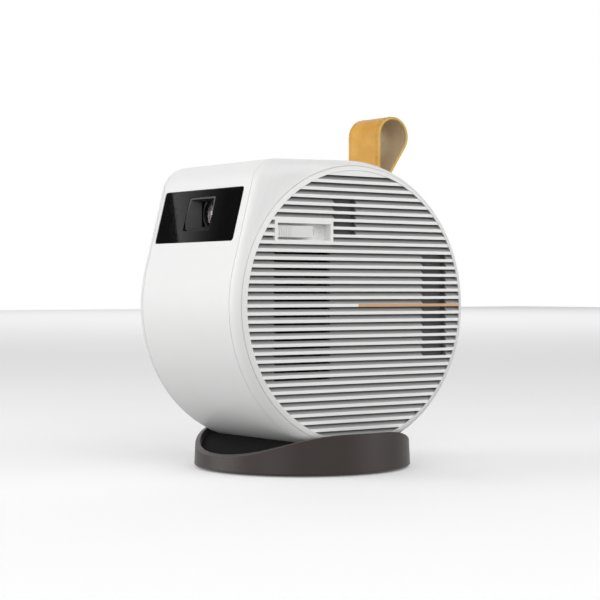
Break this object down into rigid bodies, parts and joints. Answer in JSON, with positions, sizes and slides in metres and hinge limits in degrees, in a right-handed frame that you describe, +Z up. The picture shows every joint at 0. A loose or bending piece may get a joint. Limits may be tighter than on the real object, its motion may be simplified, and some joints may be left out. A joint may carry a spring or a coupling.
{
  "type": "home projector",
  "caption": "Portable drum-shaped projector with louvred sides, a recessed lens behind a glossy front panel and a carry loop, tilting in a magnetic cradle base.",
  "frame": {"origin": "centre of the base's underside, on the table", "axes": "+Z up, -Y the way the lens faces, +X the side with the focus slider"},
  "size_m": [0.1034, 0.134, 0.1694],
  "materials": {
    "white_shell": "fine matte white",
    "grille": "satin white",
    "accent": "satin copper",
    "front_panel": "gloss black",
    "dark_plastic": "matte black",
    "base_brown": "soft matte taupe brown",
    "rubber": "matte",
    "leather": "grained mustard leather",
    "lens_glass": "coated, clear",
    "barrel_black": "black anodised",
    "key_grey": "matte light grey",
    "steel": "plain",
    "die_cast": "as cast, dark",
    "aluminium": "plain",
    "copper": "plain copper",
    "circuit": "solder mask",
    "cell_wrap": "shrink wrap",
    "frame_grey": "matte"
  },
  "bodies": {
    "base": {"base_cup": "base_brown", "base_pad": "rubber", "base_weight": "steel", "base_magnets": "steel", "base_saddle": "rubber", "base_screws": "steel"},
    "projector": {"band": "white_shell", "bezel_focus": "white_shell", "bezel_ports": "white_shell", "grille_focus": "grille", "grille_ports": "grille", "accent_slat": "accent", "lens_panel": "front_panel", "lens_hood": "dark_plastic", "strap": "leather", "strap_bar": "steel", "steel_strip": "steel", "chassis": "frame_grey", "dust_screens": "dark_plastic", "lens_mount": "die_cast", "optical_engine": "die_cast", "dmd_board": "circuit", "dmd_heatsink": "aluminium", "led_red": "copper", "led_green": "copper", "led_blue": "copper", "heat_pipe": "copper", "main_heatsink": "aluminium", "fan_frame": "dark_plastic", "fan_screws": "steel", "speaker_frame": "dark_plastic", "speaker_cone": "dark_plastic", "speaker_magnet": "steel", "battery_cells": "cell_wrap", "battery_tray": "dark_plastic", "main_board": "circuit", "board_screws": "steel", "board_chips": "dark_plastic", "control_panel": "frame_grey", "hdmi_socket": "steel", "usb_socket": "steel", "dc_jack": "dark_plastic", "audio_jack": "dark_plastic", "tact_switches": "steel"},
    "lens": {"lens_barrel": "barrel_black", "lens_front": "lens_glass", "lens_rear": "lens_glass", "focus_carrier": "die_cast", "focus_knob": "grille"},
    "fan": {"fan_rotor": "dark_plastic"},
    "power_key": {"key_power": "key_grey"},
    "source_key": {"key_source": "key_grey"},
    "minus_key": {"key_minus": "key_grey"},
    "plus_key": {"key_plus": "key_grey"}
  },
  "joints": [
    {"name": "tilt", "type": "hinge", "parent": "base", "child": "projector", "pos_m": [0, 0, 0.077], "axis": [-1, 0, 0], "range_deg": [-14, 75]},
    {"name": "focus", "type": "slide", "parent": "projector", "child": "lens", "axis": [0, 1, 0], "range_m": [0, 0.008]},
    {"name": "fan_spin", "type": "hinge", "parent": "projector", "child": "fan", "pos_m": [0.032, 0.036, 0.077], "axis": [1, 0, 0], "continuous": true},
    {"name": "power_press", "type": "slide", "parent": "projector", "child": "power_key", "axis": [1, 0, 0], "range_m": [0, 0.0006], "stiffness_N_per_m": 2000},
    {"name": "source_press", "type": "slide", "parent": "projector", "child": "source_key", "axis": [1, 0, 0], "range_m": [0, 0.0006], "stiffness_N_per_m": 2000},
    {"name": "minus_press", "type": "slide", "parent": "projector", "child": "minus_key", "axis": [1, 0, 0], "range_m": [0, 0.0006], "stiffness_N_per_m": 2000},
    {"name": "plus_press", "type": "slide", "parent": "projector", "child": "plus_key", "axis": [1, 0, 0], "range_m": [0, 0.0006], "stiffness_N_per_m": 2000}
  ]
}
